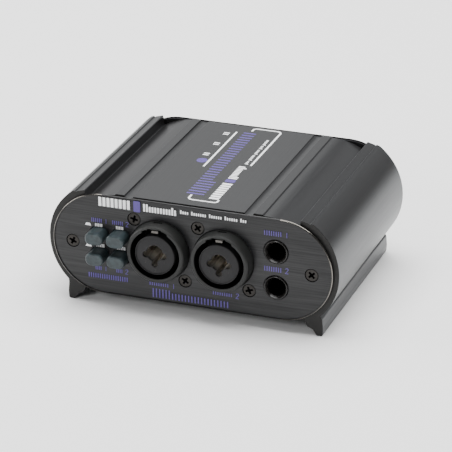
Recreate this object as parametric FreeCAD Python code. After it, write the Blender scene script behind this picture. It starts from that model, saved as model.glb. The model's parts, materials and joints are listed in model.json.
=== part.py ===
import FreeCAD, Part
import math
import os

# Two-channel direct injection box in an extruded aluminium case.
# Every piece is drawn in the front panel's own frame: x to the right, y into the box from the
# front panel's outer face, z up from the panel's middle.  save() moves each piece to the part's
# frame, whose origin is the middle of the footprint on the surface that the feet stand on.

os.makedirs("parts", exist_ok=True)
V = FreeCAD.Vector

# ---- case and panels (mm) ----
PANEL_T = 1.5               # both end plates
PANEL_R = 20.8              # end radius of the plate, and half its height
PANEL_ARC_X = 36.1          # where the plate's end arcs are centred
PANEL_EDGE_ROUND = 0.4
CASE_LENGTH = 82.5
LID_SHIFT = -1.1            # the lid's raised pattern sits a little left of the middle
LID_Z = 21.0
WALL = 1.9
RAIL_R = 24.7               # outer curve of the side rails
RAIL_ARC_X = 34.3
FOOT_Z = -25.8              # underside of the feet
FOOT_SHIFT = 0.45           # the feet sit a little right of the middle
SCREW_X = 48.6              # end screws
SCREW_Z = -0.2
BOSS_R = 3.3

# ---- countersunk screws ----
HEAD_R = 2.65
HEAD_H = 1.3
SHANK_R = 1.35
SCREW_LENGTH = 7.5
SCREW_GAP = 0.05
CROSS_LENGTH = 3.0
CROSS_WIDTH = 0.75
CROSS_DEPTH = 0.9

# ---- combined XLR and jack inputs ----
INPUT_X = (-12.6, 13.4)
INPUT_Z = 1.05
INPUT_SCREW_X = 10.27
INPUT_SCREW_Z = 11.42
COLLAR_OUT = 5.3
COLLAR_RIM_R = 11.1
COLLAR_FRONT_R = 11.5
COLLAR_BASE_R = 12.0
EAR_R = 2.8                 # ears that take the flange's screws
SOCKET_R = 10.0
SOCKET_DEPTH = 15.0
INSERT_R = 8.05
INSERT_BASE_R = 9.9
JACK_R = 3.25               # bore for a 6.35 mm plug
JACK_RISE = 0.8             # the jack bore sits above the middle of the insert
PIN_CIRCLE = 3.57           # XLR pins from the middle
LOBE_R = 1.3
BODY_BACK = 33.0            # rear face of every front connector, where the front board starts

# ---- plain jacks ----
THRU_X = 34.5
THRU_Z = (7.37, -7.36)
BUSHING_R = 4.7
BUSHING_OUT = 0.6

# ---- push-buttons ----
BUTTON_X = (-37.4, -28.7)
BUTTON_Z = (4.4, -4.25)
CAP_W = 7.2
CAP_H = 5.0
CAP_CORNER = 2.2
CAP_OUT = 6.4
CAP_GAP = 0.3
POWER_X = 38.0
POWER_OUT = 4.1

# ---- boards and rear connectors ----
BOARD_T = 1.6
BOARD_TOP = -12.05
OUTPUT_X = (14.0, -14.0)
OUTPUT_Z = 1.05
OUTPUT_OUT = 3.0
OUTPUT_R = 11.2
CUP_R = 8.15
CUP_BOTTOM = 11.5
XLR_PIN_R = 1.19
DC_X = -38.0
DC_Z = -6.55

REAR_FACE = PANEL_T + CASE_LENGTH + PANEL_T
FRONT_Y = CAP_OUT - (CAP_OUT + REAR_FACE + POWER_OUT) / 2


# ---------------------------------------------------------------- helpers
def rod(radius, y0, y1, x=0.0, z=0.0):
    return Part.makeCylinder(radius, y1 - y0, V(x, y0, z), V(0, 1, 0))


def cone(r0, r1, y0, y1, x=0.0, z=0.0):
    return Part.makeCone(r0, r1, y1 - y0, V(x, y0, z), V(0, 1, 0))


def post(radius, z0, z1, x, y):
    return Part.makeCylinder(radius, z1 - z0, V(x, y, z0), V(0, 0, 1))


def block(x0, x1, y0, y1, z0, z1):
    return Part.makeBox(x1 - x0, y1 - y0, z1 - z0, V(x0, y0, z0))


def bar(width, height, y0, y1, x=0.0, z=0.0):
    return block(x - width / 2, x + width / 2, y0, y1, z - height / 2, z + height / 2)


def join(shapes):
    if len(shapes) == 1:
        return shapes[0]
    return shapes[0].multiFuse(shapes[1:]).removeSplitter()


def group(shapes):
    return Part.makeCompound(shapes)


def cut_each(shape, cuts):
    for tool in cuts:
        shape = shape.cut(tool)
    return shape


def plate(width, height, corner, y0, y1, x=0.0, z=0.0):
    """A rounded rectangle seen from the front, from y0 to y1."""
    w = width / 2 - corner
    h = height / 2 - corner
    core = [bar(2 * w, height, y0, y1, x, z), bar(width, 2 * h, y0, y1, x, z)]
    corners = [rod(corner, y0, y1, x + i * w, z + j * h) for i in (-1, 1) for j in (-1, 1)]
    return join(core + corners)


def flipped(shape):
    """Turn a piece drawn for the front panel to the rear panel, facing backwards."""
    return shape.mirror(V(0, REAR_FACE / 2, 0), V(0, 1, 0))


def save(name, shape):
    placed = shape.copy()
    placed.translate(V(0, FRONT_Y, -FOOT_Z))
    placed.exportStep("parts/" + name + ".step")


def edges_at(shape, y):
    return [e for e in shape.Edges if abs(e.BoundBox.YMin - y) < 1e-4 and abs(e.BoundBox.YMax - y) < 1e-4]


# ---------------------------------------------------------------- case extrusion
def segment(*points):
    """A straight edge through two points, or an arc through three, at the case's front end."""
    p = [V(x, PANEL_T, z) for x, z in points]
    if len(p) == 2:
        return Part.makeLine(p[0], p[1])
    return Part.Arc(p[0], p[1], p[2]).toShape()


def chain(points):
    return [segment(a, b) for a, b in zip(points, points[1:])]


def on_circle(centre_x, radius, angle):
    a = math.radians(angle)
    return (centre_x + radius * math.cos(a), radius * math.sin(a))


def mirrored(side, points):
    return [(side * x, z) for x, z in points]


def outer_half(side):
    """One side of the outline, from the middle of the lid round to the middle of the base."""
    steps = [(0, LID_Z), (22.5, LID_Z), (22.9, 20.6), (25.9, 20.8), (26.2, 21.2), (29.8, 21.2), (30.2, 20.7)]
    lid = [(LID_SHIFT + side * x, z) for x, z in steps]
    valley = (43.1, 17.0)
    shoulder = [lid[-1], (side * 37.2, 19.6), (side * valley[0], valley[1])]
    rail = [valley, (43.7, 20.7), (44.0, 20.95), (46.9, 20.15), (47.3, 19.85), (47.8, 20.25), (48.3, 20.05)]
    rail_top = on_circle(RAIL_ARC_X, RAIL_R, 54.0)
    kink = on_circle(RAIL_ARC_X, RAIL_R, -45.5)
    rail_mid = on_circle(RAIL_ARC_X, RAIL_R, 4.0)
    foot = [(52.0, -18.9), (52.3, -22.8), (52.1, FOOT_Z), (49.8, FOOT_Z), (48.2, -23.5), (45.9, -22.4),
            (45.0, -19.8)]
    foot = [(x + side * FOOT_SHIFT, z) for x, z in foot]
    join_x = 43.0
    join_z = -math.sqrt(PANEL_R ** 2 - (join_x - PANEL_ARC_X) ** 2)
    foot = [kink] + foot + [(join_x, join_z)]
    belly = on_circle(PANEL_ARC_X, PANEL_R, -80.0)
    edges = chain(lid)
    edges.append(segment(*shoulder))
    edges += chain(mirrored(side, rail + [rail_top]))
    edges.append(segment(*mirrored(side, [rail_top, rail_mid, kink])))
    edges += chain(mirrored(side, foot))
    edges.append(segment(*mirrored(side, [foot[-1], belly, (PANEL_ARC_X, -PANEL_R)])))
    edges += chain([(side * PANEL_ARC_X, -PANEL_R), (0, -PANEL_R)])
    return edges


def inner_half(side):
    """One side of the hollow inside the case."""
    radius = PANEL_R - WALL
    top = LID_Z - WALL - 0.3
    side_top = on_circle(PANEL_ARC_X, radius, 50.0)
    edges = chain([(0, top), (side * 29.0, top)])
    edges.append(segment((side * 29.0, top), (side * 36.0, 17.7), (side * 42.3, 15.2)))
    edges += chain(mirrored(side, [(42.3, 15.2), side_top]))
    edges.append(segment(*mirrored(side, [side_top, (PANEL_ARC_X + radius, 0), (PANEL_ARC_X, -radius)])))
    edges += chain([(side * PANEL_ARC_X, -radius), (0, -radius)])
    return edges


def extrude(edges):
    wire = Part.Wire(Part.__sortEdges__(edges))
    return Part.Face(wire).extrude(V(0, CASE_LENGTH, 0))


def case_extrusion():
    outer = extrude(outer_half(1) + outer_half(-1))
    hollow = extrude(inner_half(1) + inner_half(-1))
    y0 = PANEL_T
    y1 = PANEL_T + CASE_LENGTH
    slot_low = BOARD_TOP - BOARD_T - 0.05
    slot_high = BOARD_TOP + 0.05
    ribs = []
    for side in (-1, 1):
        ribs.append(rod(BOSS_R, y0, y1, side * SCREW_X, SCREW_Z))
        web_x = sorted((side * (SCREW_X + 2.5), side * (SCREW_X + 7.5)))
        ribs.append(block(web_x[0], web_x[1], y0, y1, SCREW_Z - 1.2, SCREW_Z + 1.2))
        rib_x = sorted((side * 46.6, side * 52.0))
        ribs.append(block(rib_x[0], rib_x[1], y0, y1, slot_high, slot_high + 1.2))
        ribs.append(block(rib_x[0], rib_x[1], y0, y1, slot_low - 1.2, slot_low))
    inside = join(ribs).common(hollow)
    case = outer.cut(hollow).fuse(inside)
    for side in (-1, 1):
        case = case.cut(rod(SHANK_R + SCREW_GAP, y0, y1, side * SCREW_X, SCREW_Z))
        mouth = sorted((side * (SCREW_X - BOSS_R - 0.5), side * SCREW_X))
        case = case.cut(block(mouth[0], mouth[1], y0, y1, SCREW_Z - 0.6, SCREW_Z + 0.6))
    return case.removeSplitter()


# ---------------------------------------------------------------- screws and panels
def screw_hole(x, z):
    sink = cone(HEAD_R + SCREW_GAP, SHANK_R + SCREW_GAP, 0, HEAD_H, x, z)
    return sink.fuse(rod(SHANK_R + SCREW_GAP, HEAD_H, PANEL_T, x, z))


def screw(x, z, turn=20.0):
    """A countersunk cross-head screw, its head flush with the panel."""
    head = cone(HEAD_R, SHANK_R, 0, HEAD_H, x, z)
    body = head.fuse(rod(SHANK_R, HEAD_H, SCREW_LENGTH, x, z))
    recess = bar(CROSS_LENGTH, CROSS_WIDTH, 0, CROSS_DEPTH, x, z)
    recess = recess.fuse(bar(CROSS_WIDTH, CROSS_LENGTH, 0, CROSS_DEPTH, x, z))
    recess.rotate(V(x, 0, z), V(0, 1, 0), turn)
    return body.cut(recess)


END_SCREWS = [(-SCREW_X, SCREW_Z), (SCREW_X, SCREW_Z)]


def pair_of_screws(x, z):
    return [(x - INPUT_SCREW_X, z + INPUT_SCREW_Z), (x + INPUT_SCREW_X, z - INPUT_SCREW_Z)]


INPUT_SCREWS = [p for x in INPUT_X for p in pair_of_screws(x, INPUT_Z)]
OUTPUT_SCREWS = [p for x in OUTPUT_X for p in pair_of_screws(x, OUTPUT_Z)]


def eared_flange(x, z, y1):
    """A round flange behind the panel, with two ears that the screws go into."""
    ears = [rod(EAR_R, PANEL_T, y1, u, w) for u, w in pair_of_screws(x, z)]
    reach = math.hypot(INPUT_SCREW_X, INPUT_SCREW_Z)
    web = bar(2 * reach, 2 * EAR_R, PANEL_T, y1, x, z)
    web.rotate(V(x, 0, z), V(0, 1, 0), math.degrees(math.atan2(INPUT_SCREW_Z, INPUT_SCREW_X)))
    return join([rod(COLLAR_BASE_R, PANEL_T, y1, x, z), web] + ears)


def panel_blank():
    blank = plate(2 * (PANEL_ARC_X + PANEL_R), 2 * PANEL_R, PANEL_R - 1e-3, 0, PANEL_T)
    return blank.makeFillet(PANEL_EDGE_ROUND, edges_at(blank, 0.0))


def front_panel():
    holes = [screw_hole(x, z) for x, z in END_SCREWS + INPUT_SCREWS]
    holes += [rod(COLLAR_BASE_R + 0.1, 0, PANEL_T, x, INPUT_Z) for x in INPUT_X]
    holes += [rod(BUSHING_R + 0.15, 0, PANEL_T, THRU_X, z) for z in THRU_Z]
    gap = 2 * CAP_GAP
    holes += [plate(CAP_W + gap, CAP_H + gap, CAP_CORNER + CAP_GAP, 0, PANEL_T, x, z)
              for x in BUTTON_X for z in BUTTON_Z]
    return panel_blank().cut(group(holes))


def rear_panel():
    holes = [screw_hole(x, z) for x, z in END_SCREWS + OUTPUT_SCREWS]
    holes += [rod(OUTPUT_R + 0.15, 0, PANEL_T, x, OUTPUT_Z) for x in OUTPUT_X]
    holes.append(rod(4.35, 0, PANEL_T, DC_X, DC_Z))
    power_z = BOARD_TOP + 4.1
    holes.append(rod(3.0 + CAP_GAP, 0, PANEL_T, POWER_X, power_z))
    return panel_blank().cut(group(holes))


# ---------------------------------------------------------------- jack contacts
CONTACT_W = 2.0
CONTACT_IN = 3.4            # nearest that a contact comes to the bore's axis
TAIL_END = 35.4


def jack_contact(x, z, angle, y0, y1):
    """A flat contact strip beside the bore, with a tail to the board."""
    strip = bar(CONTACT_W, 0.35, y0, y1, x, z + CONTACT_IN + 0.18)
    riser = bar(0.8, 1.1, y1 - 0.5, y1, x, z + CONTACT_IN + 0.55)
    tail = bar(0.8, 0.35, y1 - 0.5, TAIL_END, x, z + CONTACT_IN + 0.92)
    contact = join([strip, riser, tail])
    contact.rotate(V(x, 0, z), V(0, 1, 0), angle)
    return contact


def jack_slot(x, z, angle, y0, y1):
    """The room that a contact needs in the plastic round it."""
    slot = bar(CONTACT_W + 0.2, 1.3, y0 - 0.1, y1 + 0.1, x, z + JACK_R)
    channel = bar(1.0, 1.9, y1 - 0.6, TAIL_END, x, z + JACK_R + 0.6)
    room = slot.fuse(channel)
    room.rotate(V(x, 0, z), V(0, 1, 0), angle)
    return room


INPUT_CONTACTS = [(0, -3.6, 4.0), (180, 13.0, 20.0), (0, 22.0, 29.5)]
THRU_CONTACTS = [(90, 7.0, 12.0), (-90, 14.0, 20.0), (90, 22.0, 29.5)]


# ---------------------------------------------------------------- combined inputs
LATCH_Y = 12.0
LATCH_Z = 9.95
LATCH_W = 4.8
LATCH_PIN_R = 0.6


def lobes(x):
    z = INPUT_Z
    return [(x - PIN_CIRCLE, z), (x + PIN_CIRCLE, z), (x, z - PIN_CIRCLE)]


def tail_spots(x):
    z = INPUT_Z
    return [(x - 5.2, z), (x + 5.2, z), (x, z - 5.4)]


def input_housing(x):
    z = INPUT_Z
    collar = [cone(COLLAR_RIM_R, COLLAR_FRONT_R, -COLLAR_OUT, -COLLAR_OUT + 0.4, x, z),
              cone(COLLAR_FRONT_R, COLLAR_BASE_R, -COLLAR_OUT + 0.4, 0, x, z),
              rod(COLLAR_BASE_R, 0, PANEL_T, x, z)]
    flange = eared_flange(x, z, 8.0)
    body = plate(23.8, 23.8, 3.0, 8.0, BODY_BACK, x, z)
    housing = join(collar + [flange, body])
    back = BODY_BACK - 1.6
    notch_back = 3.0 - COLLAR_OUT
    notch = rod(10.75, -COLLAR_OUT, notch_back, x, z)
    notch = notch.common(block(x - 5.4, x + 5.4, -COLLAR_OUT, notch_back, z + 7, z + 12))
    cuts = [rod(SOCKET_R, -COLLAR_OUT, back, x, z), notch,
            block(x - 2.8, x + 2.8, -COLLAR_OUT, LATCH_Y + 1.6, z + 9.0, z + 10.8),
            Part.makeCylinder(LATCH_PIN_R + 0.08, 8.0, V(x - 4.0, LATCH_Y, z + LATCH_Z), V(1, 0, 0)),
            block(x - 1.9, x + 1.9, -1.9, -0.3, z + 11.4, z + 13.0)]
    cuts += [rod(SHANK_R + SCREW_GAP, PANEL_T, SCREW_LENGTH + 0.5, u, w) for u, w in pair_of_screws(x, z)]
    cuts += [rod(0.55, back - 0.5, BODY_BACK + 0.5, u, w) for u, w in tail_spots(x)]
    cuts += [jack_slot(x, z + JACK_RISE, angle, y0, y1) for angle, y0, y1 in INPUT_CONTACTS]
    return cut_each(housing, cuts)


def input_insert(x):
    z = INPUT_Z
    base = SOCKET_DEPTH - COLLAR_OUT
    insert = rod(INSERT_R, -COLLAR_OUT, base, x, z)
    insert = insert.makeChamfer(0.25, edges_at(insert, -COLLAR_OUT))
    insert = insert.fuse(rod(INSERT_BASE_R, base, BODY_BACK - 1.65, x, z))
    cuts = [rod(JACK_R + 0.2, -COLLAR_OUT, base, x, z + JACK_RISE),
            rod(JACK_R, base, 28.6, x, z + JACK_RISE),
            block(x - 4.2, x + 4.2, base - 0.1, LATCH_Y + 1.6, z + 9.2, z + 11.0)]
    cuts += [rod(LOBE_R, -COLLAR_OUT, 9.0, u, w) for u, w in lobes(x)]
    cuts += [rod(1.75, 1.0, 9.0, u, w) for u, w in lobes(x)]
    cuts += [rod(0.5, 7.0, BODY_BACK, u, w) for u, w in tail_spots(x)]
    cuts += [jack_slot(x, z + JACK_RISE, angle, y0, y1) for angle, y0, y1 in INPUT_CONTACTS]
    return cut_each(insert, cuts)


def input_xlr_contacts(x):
    pieces = []
    keep_clear = rod(CONTACT_IN, -1.0, 10.0, x, INPUT_Z + JACK_RISE)
    for (u, w), (tail_x, tail_z) in zip(lobes(x), tail_spots(x)):
        sleeve = rod(1.7, 1.2, 8.8, u, w).cut(rod(1.25, 1.2, 8.2, u, w)).cut(keep_clear)
        tail = rod(0.4, 8.2, TAIL_END, tail_x, tail_z)
        bridge = block(min(u, tail_x) - 0.3, max(u, tail_x) + 0.3, 8.3, 8.8,
                       min(w, tail_z) - 0.3, max(w, tail_z) + 0.3).cut(keep_clear)
        pieces.append(join([sleeve, bridge, tail]))
    return group(pieces)


def input_latch(x):
    z = INPUT_Z
    front = 0.6 - COLLAR_OUT
    strip = block(x - LATCH_W / 2, x + LATCH_W / 2, front, LATCH_Y + 0.6, z + 9.75, z + 10.15)
    hook = block(x - LATCH_W / 2, x + LATCH_W / 2, front, front + 0.6, z + 8.9, z + 9.75)
    pin = Part.makeCylinder(LATCH_PIN_R, 7.2, V(x - 3.6, LATCH_Y, z + LATCH_Z), V(1, 0, 0))
    return join([strip, hook, pin])


# ---------------------------------------------------------------- plain jacks
def thru_body(z):
    body = plate(15.8, 13.8, 1.0, 2.2, BODY_BACK, THRU_X, z)
    cuts = [rod(JACK_R, 2.2, 31.2, THRU_X, z), rod(BUSHING_R + 0.02, 2.2, 6.0, THRU_X, z)]
    cuts += [jack_slot(THRU_X, z, angle, y0, y1) for angle, y0, y1 in THRU_CONTACTS]
    return cut_each(body, cuts)


def thru_bushing(z):
    bushing = rod(BUSHING_R, -BUSHING_OUT, 6.0, THRU_X, z)
    bushing = bushing.makeFillet(0.35, edges_at(bushing, -BUSHING_OUT))
    mouth = cone(4.1, JACK_R, -BUSHING_OUT, 0.6, THRU_X, z)
    return bushing.cut(mouth).cut(rod(JACK_R, -BUSHING_OUT, 6.0, THRU_X, z))


# ---------------------------------------------------------------- push switches
SWITCH_W = 8.2
SWITCH_L = 14.0


def front_cap(x, z):
    cap = plate(CAP_W, CAP_H, CAP_CORNER, -CAP_OUT, 7.0, x, z)
    cap = cap.makeFillet(0.55, edges_at(cap, -CAP_OUT))
    return cap.cut(bar(3.0, 2.1, 0.5, 7.0, x, z))


def power_cap(x, z):
    cap = rod(3.0, -POWER_OUT, 6.0, x, z)
    cap = cap.makeFillet(0.5, edges_at(cap, -POWER_OUT))
    return cap.cut(bar(3.0, 2.1, 0.5, 6.0, x, z))


def switch_body(x, z, setback):
    body = bar(SWITCH_W, SWITCH_W, setback, setback + SWITCH_L, x, z)
    body = body.cut(bar(4.9, 4.9, setback + 1.6, setback + SWITCH_L - 1.4, x, z))
    return body.cut(bar(3.3, 2.4, setback, setback + 1.6, x, z))


def switch_plunger(x, z, setback):
    stem = bar(2.9, 2.0, 0.8, setback + 2.0, x, z)
    collar = bar(4.4, 4.4, setback + 1.7, setback + 3.2, x, z)
    return join([stem, collar, rod(1.1, setback + 3.2, setback + 5.0, x, z)])


def switch_spring(x, z, setback):
    """A coil spring between the plunger's collar and the back of the switch."""
    wire = 0.22
    radius = 1.7
    length = SWITCH_L - 1.4 - 3.2 - 0.1 - 2 * wire - 0.1
    turns = 6
    helix = Part.makeHelix(length / turns, length, radius)
    ring = Part.Wire(Part.makeCircle(wire, V(radius, 0, 0), V(0, 1, 0)))
    coil = Part.Wire(helix).makePipeShell([ring], True, True)
    coil.rotate(V(0, 0, 0), V(1, 0, 0), -90)
    coil.translate(V(x, setback + 3.3 + wire, z))
    return coil


# ---------------------------------------------------------------- rear connectors
def output_pins_at(x):
    z = OUTPUT_Z
    return [(x - PIN_CIRCLE, z), (x + PIN_CIRCLE, z), (x, z - PIN_CIRCLE)]


PIN_TURN = 19.5             # where the pins turn down to the board


def output_shell(x):
    z = OUTPUT_Z
    collar = rod(OUTPUT_R, -OUTPUT_OUT, PANEL_T, x, z)
    collar = collar.makeChamfer(0.5, edges_at(collar, -OUTPUT_OUT))
    flange = eared_flange(x, z, 8.0)
    body = rod(10.6, 8.0, 18.0, x, z)
    cuts = [rod(CUP_R, -OUTPUT_OUT, CUP_BOTTOM, x, z), rod(9.0, CUP_BOTTOM, 18.0, x, z)]
    cuts += [rod(SHANK_R + SCREW_GAP, PANEL_T, 8.0, u, w) for u, w in pair_of_screws(x, z)]
    return cut_each(join([collar, flange, body]), cuts)


def output_insert(x):
    insert = rod(8.98, CUP_BOTTOM, 17.9, x, OUTPUT_Z)
    return cut_each(insert, [rod(XLR_PIN_R + 0.01, CUP_BOTTOM, 17.9, u, w) for u, w in output_pins_at(x)])


def output_pins(x):
    pieces = []
    for u, w in output_pins_at(x):
        pin = rod(XLR_PIN_R, 1.2, PIN_TURN, u, w)
        pin = pin.makeFillet(0.8, edges_at(pin, 1.2))
        pieces.append(join([pin, post(0.5, BOARD_TOP - BOARD_T - 1.0, w, u, PIN_TURN - 0.6)]))
    return group(pieces)


def dc_jack_body():
    body = block(DC_X - 4.5, DC_X + 4.5, PANEL_T, 15.5, BOARD_TOP, DC_Z + 5.5)
    body = body.fuse(rod(4.2, 0, PANEL_T, DC_X, DC_Z))
    return cut_each(body, [rod(2.85, 0, 11.0, DC_X, DC_Z), rod(0.9, 11.0, 15.5, DC_X, DC_Z)])


def dc_jack_contacts():
    pin = rod(1.05, 2.0, 11.0, DC_X, DC_Z)
    pin = pin.makeFillet(0.5, edges_at(pin, 2.0)).fuse(rod(0.85, 11.0, 16.5, DC_X, DC_Z))
    tail = block(DC_X - 0.8, DC_X + 0.8, 15.5, 16.0, BOARD_TOP, DC_Z)
    return join([pin, tail])


# ---------------------------------------------------------------- boards and what is on them
MAIN_FRONT = BODY_BACK + BOARD_T + 0.2
HEADER_PINS = [-12.0 + 3.0 * i for i in range(9)]
HEADER_Y = BODY_BACK + BOARD_T + 0.9


def front_board():
    board = block(-43.0, 43.0, BODY_BACK, BODY_BACK + BOARD_T, -11.2, 14.6)
    cuts = [rod(0.55, BODY_BACK, 35, u, w) for x in INPUT_X for u, w in tail_spots(x)]
    for x, z, contacts in ([(x, INPUT_Z + JACK_RISE, INPUT_CONTACTS) for x in INPUT_X]
                           + [(THRU_X, z, THRU_CONTACTS) for z in THRU_Z]):
        for angle, _, _ in contacts:
            hole = bar(1.0, 0.6, BODY_BACK, 35, x, z + CONTACT_IN + 0.92)
            hole.rotate(V(x, 0, z), V(0, 1, 0), angle)
            cuts.append(hole)
    cuts += [rod(0.35, BODY_BACK, 35, x, -10.6) for x in HEADER_PINS]
    return cut_each(board, cuts)


def main_board():
    board = block(-48.4, 48.4, MAIN_FRONT, REAR_FACE - 8.3, BOARD_TOP - BOARD_T, BOARD_TOP)
    low = BOARD_TOP - BOARD_T
    cuts = [post(0.6, low, BOARD_TOP, u, REAR_FACE - PIN_TURN + 0.6)
            for x in OUTPUT_X for u, _ in output_pins_at(x)]
    cuts += [post(0.35, low, BOARD_TOP, x, HEADER_Y) for x in HEADER_PINS]
    return cut_each(board, cuts)


def board_header():
    strip = block(-14.0, 14.0, BODY_BACK + BOARD_T, HEADER_Y + 0.9, BOARD_TOP, -9.8)
    pins = [rod(0.3, BODY_BACK, HEADER_Y, x, -10.6) for x in HEADER_PINS]
    pins += [post(0.3, BOARD_TOP - BOARD_T - 1.0, -10.6, x, HEADER_Y) for x in HEADER_PINS]
    return join([strip] + pins)


BATTERY_X = (-20.0, 28.5)
BATTERY_Y = (37.65, 63.85)
BATTERY_Z = (-8.6, 8.9)


def battery():
    cell = block(*BATTERY_X, *BATTERY_Y, *BATTERY_Z)
    cell = cell.makeFillet(1.5, [e for e in cell.Edges if e.BoundBox.XLength > 40])
    middle_y = sum(BATTERY_Y) / 2
    studs = [Part.makeCylinder(r, 2.4, V(BATTERY_X[0] - 2.4, middle_y + s * 6.4, 0), V(1, 0, 0))
             for s, r in ((-1, 2.8), (1, 3.8))]
    return join([cell] + studs)


def battery_snap():
    middle_y = sum(BATTERY_Y) / 2
    cap = block(BATTERY_X[0] - 3.6, BATTERY_X[0] - 0.1, middle_y - 12.0, middle_y + 12.0, -6.5, 6.5)
    cap = cap.makeFillet(1.0, [e for e in cap.Edges if e.BoundBox.XLength > 3])
    holes = [Part.makeCylinder(r, 3.0, V(BATTERY_X[0] - 2.5, middle_y + s * 6.4, 0), V(1, 0, 0))
             for s, r in ((-1, 2.85), (1, 3.85))]
    return cut_each(cap, holes)


def battery_tray():
    x0 = BATTERY_X[0]
    x1 = BATTERY_X[1] + 1.1
    y0 = BATTERY_Y[0] - 1.05
    y1 = BATTERY_Y[1] + 1.05
    tray = block(x0, x1, y0, y1, BOARD_TOP, -2.0)
    tray = tray.cut(block(x0, BATTERY_X[1] + 0.05, BATTERY_Y[0] - 0.05, BATTERY_Y[1] + 0.05, BATTERY_Z[0], 0))
    return tray.cut(block(x0 + 3.0, x1 - 3.0, y0 + 3.0, y1 - 3.0, BOARD_TOP, BATTERY_Z[0] - 1.2))


def capacitors():
    spots = [(-41.5, 42.0), (-33.5, 42.0), (-41.5, 50.0), (-33.5, 50.0), (-27.5, 68.0), (34.0, 42.0),
             (41.8, 42.0), (34.0, 50.0)]
    top = BOARD_TOP + 11.0
    return group([post(3.1, BOARD_TOP, top, x, y).fuse(post(2.6, top, top + 0.4, x, y)) for x, y in spots])


def op_amps():
    chips = []
    for x, y in ((-41.5, 61.0), (-31.5, 59.5), (41.5, 53.0)):
        chip = [block(x - 3.2, x + 3.2, y - 4.8, y + 4.8, BOARD_TOP + 0.6, BOARD_TOP + 3.9)]
        for i in range(4):
            leg_y = y - 3.81 + 2.54 * i
            for side in (-1, 1):
                leg_x = x + side * 3.4
                chip.append(block(leg_x - 0.25, leg_x + 0.25, leg_y - 0.3, leg_y + 0.3,
                                  BOARD_TOP, BOARD_TOP + 2.4))
        chips.append(join(chip))
    return group(chips)


# ---------------------------------------------------------------- write every node
save("case_extrusion", case_extrusion())
save("front_panel", front_panel())
save("rear_panel", flipped(rear_panel()))
save("front_panel_screws", group([screw(x, z) for x, z in END_SCREWS]))
save("rear_panel_screws", flipped(group([screw(x, z) for x, z in END_SCREWS])))
save("input_screws", group([screw(x, z, 10.0 + 17.0 * i) for i, (x, z) in enumerate(INPUT_SCREWS)]))
save("output_screws", flipped(group([screw(x, z, 31.0 * i) for i, (x, z) in enumerate(OUTPUT_SCREWS)])))

for number, x in enumerate(INPUT_X, start=1):
    name = "input_%d_" % number
    save(name + "housing", input_housing(x))
    save(name + "insert", input_insert(x))
    save(name + "latch", input_latch(x))
    save(name + "xlr_contacts", input_xlr_contacts(x))
    contacts = [jack_contact(x, INPUT_Z + JACK_RISE, angle, y0, y1) for angle, y0, y1 in INPUT_CONTACTS]
    save(name + "jack_contacts", group(contacts))

for number, z in enumerate(THRU_Z, start=1):
    name = "thru_%d_" % number
    save(name + "body", thru_body(z))
    save(name + "bushing", thru_bushing(z))
    contacts = [jack_contact(THRU_X, z, angle, y0, y1) for angle, y0, y1 in THRU_CONTACTS]
    save(name + "contacts", group(contacts))

for row, z in zip(("ground_lift", "attenuator"), BUTTON_Z):
    for number, x in enumerate(BUTTON_X, start=1):
        name = "%s_%d_" % (row, number)
        setback = BODY_BACK - SWITCH_L
        save(name + "cap", front_cap(x, z))
        save(name + "plunger", switch_plunger(x, z, setback))
        save(name + "switch", switch_body(x, z, setback))
        save(name + "spring", switch_spring(x, z, setback))

POWER_Z = BOARD_TOP + SWITCH_W / 2
POWER_SETBACK = 9.0
save("power_cap", flipped(power_cap(POWER_X, POWER_Z)))
save("power_plunger", flipped(switch_plunger(POWER_X, POWER_Z, POWER_SETBACK)))
save("power_switch", flipped(switch_body(POWER_X, POWER_Z, POWER_SETBACK)))
save("power_spring", flipped(switch_spring(POWER_X, POWER_Z, POWER_SETBACK)))

for number, x in enumerate(OUTPUT_X, start=1):
    name = "output_%d_" % number
    save(name + "shell", flipped(output_shell(x)))
    save(name + "insert", flipped(output_insert(x)))
    save(name + "pins", flipped(output_pins(x)))

save("dc_jack_body", flipped(dc_jack_body()))
save("dc_jack_contacts", flipped(dc_jack_contacts()))
save("front_board", front_board())
save("main_board", main_board())
save("board_header", board_header())
save("battery", battery())
save("battery_snap", battery_snap())
save("battery_tray", battery_tray())
save("capacitors", capacitors())
save("op_amps", op_amps())
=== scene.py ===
"""Looks of a two-channel direct injection box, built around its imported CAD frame.

Sizes are in millimetres in the front panel's own frame: x to the right, depth into the box from
the face of the panel that a piece belongs to, z up from the panel's middle.
"""

import json
import math

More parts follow.
